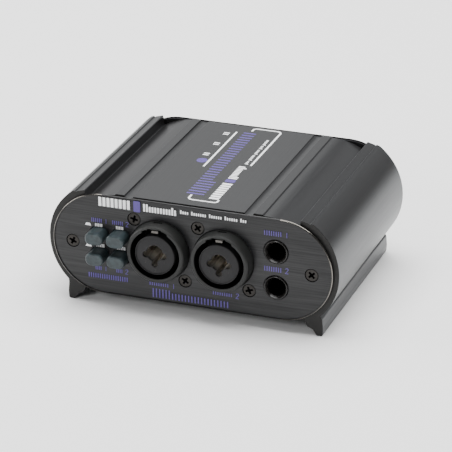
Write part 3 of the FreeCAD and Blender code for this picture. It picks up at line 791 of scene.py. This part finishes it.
def screws(name, node, side, spots, first_turn, turn_step):
    master = make_screw()
    bm = bmesh.new()
    for i, (x, z) in enumerate(spots):
        turn = Matrix.Rotation(math.radians(first_turn + turn_step * i), 4, "Y")
        add_copy(bm, master, Matrix.Translation((x, 0, z)) @ turn)
    master.free()
    heads = piece(name, bm, side, SCREW, [node])

    # Painted shade: the walls and floor of each cross recess take the near-black recess colour.
    def in_cross(middle, normal):
        x, _, z = panel_spot(middle)
        near = min(math.dist((x, z), spot) for spot in spots)
        below_face = abs(middle.y - side(0, 0, 0).y) / MM
        return near < CROSS_REACH + 0.05 and HEAD_TOP + 0.01 < below_face < HEAD_H + 0.2

    repaint(heads, SHADE, in_cross)


# ---------------------------------------------------------------- inputs
SOCKET_R = 10.0
INSERT_R = 8.05
FLANGE_R = 9.9              # of the insert's base, behind the gap for the plug
JACK_R = 3.25
JACK_RISE = 0.8
PIN_CIRCLE = 3.57
LOBE_R = 1.3
BODY_BACK = 33.0
BODY_W = 23.8


def collar(number, x, z):
    """The raised collar of an input with the socket's wall, notch and latch slot, and its body."""
    out = -COLLAR_OUT
    section = rounded([(SOCKET_R, 8.0, 0), (SOCKET_R, out + 0.1, 0.3), (SOCKET_R + 0.25, out, 0.15),
                       (11.15, out, 0.3), (11.62, out + 0.55, 0.12), (COLLAR_BASE_R, 0, 0.1),
                       (COLLAR_BASE_R, 8.0, 0)])
    bm = lathe(section, x, z, 128)
    notch_back = out + 3.0
    notch = lathe([(6.0, out - 1), (10.72, out - 1), (10.72, notch_back), (6.0, notch_back)], x, z, 128)
    notch = carve(notch, [slab(x - 20, x - 5.2, out - 2, 5, z - 20, z + 20),
                          slab(x + 5.2, x + 20, out - 2, 5, z - 20, z + 20),
                          slab(x - 20, x + 20, out - 2, 5, z - 20, z + 7)])
    slot_cut = slab(x - 2.8, x + 2.8, out - 1, 13.6, z + 9.0, z + 10.72)
    recess = slab(x - 1.7, x + 1.7, -1.7, -0.35, z + 11.3, z + 13)
    bm = carve(bm, [notch, slot_cut, recess])
    body = [(depth, oblong(x, z, BODY_W, BODY_W, 3.0)) for depth in (8.0, BODY_BACK)]
    bore = [(depth, circle(x, z, SOCKET_R)) for depth in (8.0, BODY_BACK)]
    prism([body, bore], bm)
    socket = piece("input_%d_collar" % number, bm, front, COLLAR, ["input_%d_housing" % number])
    inner_wall = SOCKET_R + 0.1

    # Painted shade: the socket's inner wall behind the collar's front takes the near-black recess colour, for the shade
    # deep in the socket.
    def in_socket(middle, normal):
        u, depth, v = panel_spot(middle)
        return math.dist((u, v), (x, z)) < inner_wall and depth > 0.5 - COLLAR_OUT

    repaint(socket, SHADE, in_socket)


def keyhole(x, z, grow=0.0):
    """The three-lobed outline of the XLR contact holes joined to the jack bore."""
    discs = [(0.0, JACK_RISE, JACK_R + 0.1), (-PIN_CIRCLE, 0, LOBE_R),
             (PIN_CIRCLE, 0, LOBE_R), (0, -PIN_CIRCLE, LOBE_R)]
    points = []
    for i in range(180):
        a = 2 * math.pi * i / 180
        ray = Vector((math.cos(a), math.sin(a)))
        reach = 0.0
        for cx, cz, radius in discs:
            along = ray.dot(Vector((cx, cz)))
            inside = radius**2 - (cx**2 + cz**2 - along**2)
            if inside > 0:
                reach = max(reach, along + math.sqrt(inside))
        points.append((x + (reach + grow) * ray.x, z + (reach + grow) * ray.y))
    return points


def insert(number, x, z):
    """The round core that an XLR plug slides over, with the joined contact and jack opening."""
    out = -COLLAR_OUT
    back = 9.7
    rings = [(out + depth, circle(x, z, INSERT_R - step, 96)) for depth, step in round_over(0.35)]
    rings += [(back, circle(x, z, INSERT_R, 96))]
    rings += [(depth, circle(x, z, FLANGE_R, 96)) for depth in (back, 31.3)]
    front_wall = 0.9
    hole = [(out, keyhole(x, z, 0.12)), (out + 0.12, keyhole(x, z)), (out + front_wall, keyhole(x, z)),
            (out + front_wall, keyhole(x, z, 0.45)), (31.3, keyhole(x, z, 0.45))]
    piece("input_%d_core" % number, prism([rings, hole]), front, INSERT, ["input_%d_insert" % number])


def contact_liner(number, x, z):
    """The sprung metal sleeve that lines the jack bore behind the core's face."""
    out = -COLLAR_OUT
    lip = out + 1.0
    back = 9.0
    shell = [(lip, keyhole(x, z, 0.3)), (lip + 0.2, keyhole(x, z, 0.4)), (back, keyhole(x, z, 0.4))]
    bore = [(lip, keyhole(x, z, 0.1)), (lip + 0.2, keyhole(x, z)), (back, keyhole(x, z))]
    bm = prism([shell, bore])
    piece("input_%d_sleeve_spring" % number, bm, front, LINER, ["input_%d_jack_contacts" % number])


def latch(number, x, z):
    """The sprung tongue that holds a plug, with its rolled front edge and pivot."""
    low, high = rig.box("input_%d_latch" % number)
    start = (low.y - FACE) / MM
    top = (high.z - MID_Z) / MM
    half = 1.35
    profile = rounded([(start, z + 8.9, 0.15), (start + 0.1, z + 9.9, 0.35), (start + 0.7, z + 10.15, 0.3),
                       (12.6, z + 10.15, 0.1), (12.6, z + 9.75, 0.1), (start + 0.9, z + 9.75, 0.3),
                       (start + 0.6, z + 8.9, 0.1)])
    bm = bmesh.new()
    rows = [[bm.verts.new((x + side * half, d, h)) for d, h in profile] for side in (-1, 1)]
    for i in range(len(profile)):
        bm.faces.new((rows[0][i - 1], rows[0][i], rows[1][i], rows[1][i - 1]))
    for row in rows:
        bm.faces.new(row)
    pin = [(0, -3.6), (0.6, -3.6), (0.6, 3.6), (0, 3.6)]
    rod = lathe(rounded([(r, d, 0.1 if r else 0) for r, d in pin]), segments=24)
    turn = Matrix.Rotation(math.pi / 2, 4, "Z")
    add_copy(bm, rod, Matrix.Translation((x, 12.0, top - 0.6)) @ turn)
    rod.free()
    piece("input_%d_tongue" % number, bm, front, SHADED_TONGUE_STEEL, ["input_%d_latch" % number],
          "input_latch_%d" % number)


# ---------------------------------------------------------------- link jacks
def jack_ring(number, x, z):
    out = -0.6
    section = rounded([(4.7, 6.0, 0), (4.7, out + 0.15, 0.12), (4.45, out, 0.12), (4.3, out + 0.05, 0.1),
                       (3.62, 0.55, 0.3), (3.45, 1.2, 0.2), (3.27, 6.0, 0)])
    ring = piece("thru_%d_ring" % number, lathe(section, x, z), front, BUSHING, ["thru_%d_bushing" % number])

    # Painted shade: the bore's walls behind the mouth take the near-black recess colour, for the shade inside the jack.
    def in_bore(middle, normal):
        u, depth, v = panel_spot(middle)
        return depth > 0.5 and math.dist((u, v), (x, z)) < 3.7

    repaint(ring, SHADE, in_bore)


# ---------------------------------------------------------------- buttons
def oval_cap(key, x, z):
    """A smoked oval cap with a bevelled, slightly dished front."""
    out = -6.4
    steps = [(0.08, 2.1), (0.05, 1.5), (0.0, 0.66), (0.0, 0.54), (0.05, 0.44), (0.36, 0.11), (0.46, 0.03),
             (0.60, 0.0), (13.4, 0.0)]
    rings = [(out + depth, oblong(x, z, CAP_W - 2 * s, CAP_H - 2 * s, max(0.25, CAP_CORNER - s), 12))
             for depth, s in steps]
    row, number = key.rsplit("_", 1)
    piece(key + "_oval_cap", prism([rings]), front, CAP, [key + "_cap"],
          "%s_button_%s" % (row, number), 24.0)


def power_cap():
    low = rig.box("power_cap")[1].y
    out = (REAR_FACE - low) / MM
    section = rounded([(0, out + 0.25, 0), (1.6, out + 0.2, 1.0), (2.4, out, 0.2), (3.0, out, 0.5),
                       (3.0, 6.0, 0), (0, 6.0, 0)])
    piece("power_round_cap", lathe(section, *POWER, 64), rear, CAP, ["power_cap"], "power_button")


# ---------------------------------------------------------------- switch springs
WIRE_R = 0.22
FREE_TURNS = 6
BUTTON_TRAVEL = 2.0


def coil(x, z, radius, start, end, steps=24, around=8):
    """A compression spring of round wire, with one closed turn at each end."""
    turns = FREE_TURNS + 2
    closed = 2.1 * WIRE_R
    first, last = start + WIRE_R, end - WIRE_R
    bm = bmesh.new()
    rings = []
    for k in range(turns * steps + 1):
        t = k / steps
        free = min(max((t - 1) / FREE_TURNS, 0), 1) * (last - first - 2 * closed)
        depth = first + closed * min(t, 1) + free + closed * max(t - turns + 1, 0)
        wire = circle(radius, depth, WIRE_R, around)
        turn = 2 * math.pi * t
        rings.append([bm.verts.new((x + r * math.cos(turn), d, z + r * math.sin(turn))) for r, d in wire])
    for a, b in zip(rings, rings[1:]):
        for i in range(around):
            bm.faces.new((a[i - 1], a[i], b[i], b[i - 1])).smooth = True
    for end_ring in (rings[0], rings[-1]):
        bm.faces.new(end_ring)
    return bm


def switch_spring(key, side):
    """The coil behind a button, which shortens as the button goes in."""
    node = key + "_spring"
    x, z = centre(node)
    ends = sorted(abs(corner.y - side(0, 0, 0).y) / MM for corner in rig.box(node))
    radius = (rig.box(node)[1].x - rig.box(node)[0].x) / 2 / MM - WIRE_R
    spring = piece(key + "_coil", coil(x, z, radius, *ends), side, STEEL, [node], sharp=60.0)
    length = ends[1] - ends[0]
    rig.squash(spring, key + "_push", (0, 1, 0), side(x, ends[1], z), 1 - BUTTON_TRAVEL / length)


# ---------------------------------------------------------------- rear connectors
def output_collar(number, x, z):
    out = -3.0
    cup = 8.15
    section = rounded([(cup, 11.5, 0), (cup, out + 0.2, 0.4), (cup + 0.5, out, 0.25), (10.4, out, 0.5),
                       (OUTPUT_BASE_R, out + 0.9, 0.3), (OUTPUT_BASE_R, 8.0, 0), (10.6, 8.0, 0),
                       (10.6, 18.0, 0), (9.0, 18.0, 0),
                       (9.0, 11.5, 0)])
    key_rib = slab(x - 1.0, x + 1.0, out + 1.0, 11.0, z + cup - 0.7, z + cup + 0.2)
    bm = lathe(section, x, z, 112)
    add_copy(bm, key_rib, Matrix())
    key_rib.free()
    piece("output_%d_collar" % number, bm, rear, CONNECTOR, ["output_%d_shell" % number])


def power_inlet():
    x, z = DC
    section = rounded([(2.85, 11.0, 0), (2.85, 0.0, 0.25), (4.2, 0.0, 0.3), (4.2, PANEL_T, 0),
                       (4.45, PANEL_T, 0), (4.45, 15.4, 0), (1.1, 15.4, 0), (1.1, 11.0, 0)])
    piece("power_inlet", lathe(section, x, z, 64), rear, CONNECTOR, ["dc_jack_body"])


# ---------------------------------------------------------------- printed marks
INK = 0.02


class Marks:
    """Thin shapes on one flat face, printed or standing for painted shade, in that face's own (u, v) millimetres."""

    def __init__(self):
        self.bm = bmesh.new()

    def shape(self, outline):
        prism([[(-INK, outline), (0.01, outline)]], self.bm)

    def bar(self, u0, u1, v0, v1, corner=0.2):
        corner = min(corner, (u1 - u0) / 2.01, (v1 - v0) / 2.01)
        self.shape(oblong((u0 + u1) / 2, (v0 + v1) / 2, u1 - u0, v1 - v0, corner, 4))

    def word(self, u0, u1, v0, v1, pattern, ink=0.62):
        """A row of upright bars that stands for a word: | is tall, i is lower and a space is a gap."""
        pitch = (u1 - u0) / len(pattern)
        for i, sign in enumerate(pattern):
            top = {"|": v1, "i": v0 + 0.72 * (v1 - v0), " ": None}[sign]
            if top is not None:
                self.bar(u0 + i * pitch, u0 + (i + ink) * pitch, v0, top, 0.12)

    def stroke(self, points, width):
        """A line of constant width through the points."""
        path = [Vector(p) for p in points]
        one_side = []
        other_side = []
        for i, here in enumerate(path):
            before = (here - path[i - 1] if i else path[1] - here).normalized()
            after = (path[i + 1] - here if i + 1 < len(path) else before).normalized()
            along = (before + after).normalized()
            half = width / 2 / max(0.5, along.dot(before))
            across = Vector((-along.y, along.x)) * half
            one_side.append(tuple(here + across))
            other_side.append(tuple(here - across))
        self.shape(one_side + other_side[::-1])

    def digit(self, number, u, v, height):
        w = height * 0.28
        h = height / 2
        strokes = {1: [(0, -h), (0, h)],
                   2: [(-w, h * 0.7), (-w * 0.3, h), (w * 0.6, h), (w, h * 0.5), (-w, -h), (w, -h)],
                   3: [(-w, h), (w, h), (0, 0.1 * h), (w, -0.3 * h), (w * 0.5, -h), (-w, -h)]}
        self.stroke([(u + a, v + b) for a, b in strokes[number]], height * 0.13)

    def put(self, name, side, material):
        piece(name, self.bm, side, material)


def on_lid(u, lift, v):
    """u runs along the lid from the front panel to the back, v from left to right."""
    return Vector((v * MM, FACE + u * MM, MID_Z + (LID_Z - lift) * MM))


def panel_marks():
    white = Marks()
    violet = Marks()
    white.word(-37.4, -24.0, 16.1, 19.8, "||||||||", 0.72)
    violet.bar(-23.0, -20.2, 15.6, 20.1, 0.5)
    white.word(-19.0, -5.2, 16.3, 19.4, "||iiiiiiii|i", 0.68)
    white.word(-3.9, 23.0, 17.5, 19.0, "|iii |iiiiii |iiiii |iiiii |ii", 0.62)
    for i in BOTH:
        x = BUTTONS["ground_lift_%d" % i][0]
        violet.word(x - 3.2, x + 1.5, 9.0, 10.7, "||||||", 0.5)
        violet.digit(i, x + 2.9, 9.8, 1.9)
        white.word(x - 1.7, x + 1.5, 7.2, 8.5, "|||||")
        x, z = BUTTONS["attenuator_%d" % i]
        white.word(x - 1.4, x + 2.2, z + 2.95, z + 4.3, "|||||")
        violet.word(x - 2.0, x + 0.8, -11.1, -9.5, "||||", 0.5)
        violet.digit(i, x + 2.3, -10.3, 1.9)
        x, z = INPUTS[i - 1]
        violet.word(x - 4.4, x + 3.8, -14.2, -12.8, "|||||||||", 0.45)
        violet.digit(i, x + 5.5, -13.5, 2.0)
        x, z = THRUS[i - 1]
        violet.word(x - 4.7, x + 2.6, z + 6.4, z + 8.4, "||||||||", 0.42)
        violet.digit(i, x + 4.3, z + 7.4, 2.1)
    violet.word(-42.4, -25.6, -14.6, -12.6, "||||||||||||||||||", 0.45)
    for z in (BUTTONS["ground_lift_1"][1] + 3.2, BUTTONS["attenuator_1"][1] + 3.0):
        x = BUTTONS["ground_lift_1"][0] - 4.6
        white.shape([(x - 1.3, z - 0.35), (x + 1.3, z - 0.35), (x + 0.7, z + 0.7), (x - 0.7, z + 0.7)])
    violet.word(-15.8, 16.0, -19.2, -15.4, "||||||iiiiiiiiiiiiiiiiii", 0.38)
    white.put("panel_marks_white", front, WHITE_INK)
    violet.put("panel_marks_violet", front, VIOLET_INK)


def lid_marks():
    white = Marks()
    violet = Marks()
    violet.word(11.9, 78.5, -6.0, 1.2, "||||||iiiiiiiiiiiiiiiiiiiii", 0.42)
    white.word(9.6, 26.2, 4.0, 8.0, "||||||||", 0.72)
    violet.bar(26.8, 29.6, 4.0, 8.0, 0.5)
    white.word(30.4, 43.8, 4.2, 7.8, "||iiiiii|i", 0.68)
    white.word(46.0, 72.5, 5.4, 6.8, "|iii |iiiiii |iiiii |iii |iiiiii", 0.62)
    line = 0.8
    white.stroke(rounded([(11.0, -3.4, 0), (6.6, -3.4, 1.8), (6.6, 8.3, 1.8), (9.2, 8.3, 0)], False, 6), line)
    back_bracket = [(45.0, 8.3, 0), (82.2, 8.3, 2.0), (82.2, -3.4, 2.0), (79.2, -3.4, 0)]
    white.stroke(rounded(back_bracket, False, 6), line)
    white.stroke([(38.6, -9.0), (76.6, -9.0)], line)
    violet.shape(circle(44.2, -11.7, 2.2, 40))
    for u in (51.0, 62.5, 73.8):
        white.word(u - 1.4, u + 1.8, -13.6, -11.2, "||", 0.5)
    white.put("lid_marks_white", on_lid, WHITE_INK)
    violet.put("lid_marks_violet", on_lid, VIOLET_INK)


def from_behind(u, depth, v):
    """A point of the rear panel with u to the right as seen from behind."""
    return rear(-u, depth, v)


def rear_marks():
    white = Marks()
    violet = Marks()
    for i in BOTH:
        u = -OUTPUTS[i - 1][0]
        violet.word(u - 4.4, u + 3.6, -16.4, -14.6, "||||||||", 0.45)
        violet.digit(i, u + 5.6, -15.5, 2.0)
    for x, low in ((DC[0], 0.4), (POWER[0], -1.8)):
        white.word(-x - 3.4, -x + 3.4, low, low + 1.2, "||||||||")
    white.put("rear_marks_white", from_behind, WHITE_INK)
    violet.put("rear_marks_violet", from_behind, VIOLET_INK)


def core_marks(number, x, z):
    # Painted shade: the dark digits stand for the shade inside the numerals engraved in the core's face.
    marks = Marks()
    marks.digit(2, x - 3.7, z - 3.0, 1.0)
    marks.digit(1, x + 3.9, z - 2.6, 1.0)
    marks.digit(3, x + 0.2, z - 6.2, 1.0)
    marks.put("input_%d_numerals" % number, lambda u, d, v: front(u, d - COLLAR_OUT, v), ENGRAVING_SHADE)


# ---------------------------------------------------------------- inner pieces keep their CAD shape
def paint(material, *nodes):
    for name in nodes:
        slots = frame["nodes"][name].data.materials
        slots.clear()
        slots.append(material)


def paint_inner_pieces():
    board = circuit_board()
    switch = moulded("switch_plastic", (0.035, 0.035, 0.036), 0.55)
    plunger = moulded("plunger_plastic", (0.62, 0.62, 0.58), 0.45)
    wrap = metal("battery_wrap", (0.10, 0.11, 0.13), 0.35, metallic=0.3)
    sleeve = moulded("capacitor_sleeve", (0.025, 0.032, 0.085), 0.25)
    chip = moulded("chip_plastic", (0.030, 0.030, 0.030), 0.6)
    paint(board, "front_board", "main_board")
    paint(switch, "board_header", "battery_snap", "battery_tray", "power_switch")
    paint(plunger, "power_plunger")
    paint(wrap, "battery")
    paint(sleeve, "capacitors")
    paint(chip, "op_amps")
    paint(TIN, "dc_jack_contacts")
    for key in BUTTONS:
        paint(switch, key + "_switch")
        paint(plunger, key + "_plunger")
    for i in BOTH:
        paint(TIN, "input_%d_xlr_contacts" % i, "thru_%d_contacts" % i, "output_%d_pins" % i)
        # Painted shade: the link jacks' bodies, seen deep in the bores, take the near-black recess colour.
        paint(SHADE, "thru_%d_body" % i)
        paint(CONNECTOR, "output_%d_insert" % i)


# ---------------------------------------------------------------- stage, light and camera
def stage_floor():
    bm = bmesh.new()
    bmesh.ops.create_grid(bm, x_segments=2, y_segments=2, size=4.0)
    mesh = bpy.data.meshes.new("floor")
    bm.to_mesh(mesh)
    bm.free()
    floor = bpy.data.objects.new("floor", mesh)
    finish = Finish("pale_floor", (0.93, 0.93, 0.93), 0.65)
    finish.shade(finish.noise((0.01, 0.01, 0.01), 2.0), 0.995, 1.005)
    mesh.materials.append(finish.done())
    bpy.context.scene.collection.objects.link(floor)
    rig.stage(floor)


def softbox(name, place, aim, width, height, power):
    light = bpy.data.lights.new(name, "AREA")
    light.shape = "RECTANGLE"
    light.size = width
    light.size_y = height
    light.energy = power
    obj = bpy.data.objects.new(name, light)
    obj.location = place
    direction = Vector(aim) - Vector(place)
    obj.rotation_euler = direction.to_track_quat("-Z", "Y").to_euler()
    bpy.context.scene.collection.objects.link(obj)


def lights():
    world = bpy.data.worlds.new("studio")
    world.use_nodes = True
    background = world.node_tree.nodes["Background"]
    background.inputs["Color"].default_value = (1.0, 1.0, 1.0, 1.0)
    background.inputs["Strength"].default_value = 0.16
    bpy.context.scene.world = world
    softbox("overhead", (0.05, 0.30, 1.5), (0, 0, 0.02), 2.0, 1.5, 76)
    softbox("back_left", (-0.68, 1.15, 0.52), (0, 0, 0.02), 0.8, 1.0, 2.0)
    softbox("back_right", (0.35, 1.3, 0.55), (0, 0, 0.02), 0.9, 0.6, 0.9)
    softbox("left", (-1.15, -0.12, 0.45), (0, 0, 0.03), 0.7, 0.7, 9)
    softbox("front", (-0.45, -1.5, 0.9), (0, 0, 0.02), 0.5, 0.5, 9)
    softbox("low_left", (-1.0, -1.1, 0.15), (0, 0, 0.02), 0.6, 0.3, 3)


CAMERA_AZIMUTH = 20.45
CAMERA_ELEVATION = 23.99
CAMERA_ROLL = -0.50
CAMERA_FROM_PANEL = (331.4, -849.7, 418.7)      # from the middle of the front panel's face
CAMERA_LENS = 210.04


def camera():
    a = math.radians(CAMERA_AZIMUTH)
    e = math.radians(CAMERA_ELEVATION)
    r = math.radians(CAMERA_ROLL)
    back = Vector((math.sin(a) * math.cos(e), -math.cos(a) * math.cos(e), math.sin(e)))
    right = Vector((math.cos(a), math.sin(a), 0))
    up = back.cross(right)
    rolled_right = right * math.cos(r) + up * math.sin(r)
    rolled_up = up * math.cos(r) - right * math.sin(r)
    data = bpy.data.cameras.new("camera")
    data.lens = CAMERA_LENS
    data.sensor_width = 36.0
    data.clip_end = 20.0
    obj = bpy.data.objects.new("camera", data)
    turn = Matrix((rolled_right, rolled_up, back)).transposed().to_4x4()
    obj.matrix_world = Matrix.Translation(front(*CAMERA_FROM_PANEL)) @ turn
    bpy.context.scene.collection.objects.link(obj)
    bpy.context.scene.camera = obj


# ---------------------------------------------------------------- put it together
case_body()
front_plate()
rear_plate()
screws("front_end_screws", "front_panel_screws", front, END_SCREWS, 25, 23)
screws("rear_end_screws", "rear_panel_screws", rear, END_SCREWS, 12, 31)
screws("input_flange_screws", "input_screws", front, INPUT_SCREWS, 14, 19)
screws("output_flange_screws", "output_screws", rear, OUTPUT_SCREWS, 5, 27)
for number, spot in zip(BOTH, INPUTS):
    collar(number, *spot)
    insert(number, *spot)
    contact_liner(number, *spot)
    latch(number, *spot)
    core_marks(number, *spot)
for number, spot in zip(BOTH, THRUS):
    jack_ring(number, *spot)
for key, spot in BUTTONS.items():
    oval_cap(key, *spot)
    switch_spring(key, front)
switch_spring("power", rear)
for number, spot in zip(BOTH, OUTPUTS):
    output_collar(number, *spot)
power_inlet()
power_cap()
panel_marks()
lid_marks()
rear_marks()
paint_inner_pieces()
stage_floor()
lights()
camera()

with open("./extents.json", "w") as file:
    json.dump({"cad": [list(v) for v in CAD_BOX], "visual": [list(v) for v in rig.bounds()]}, file)
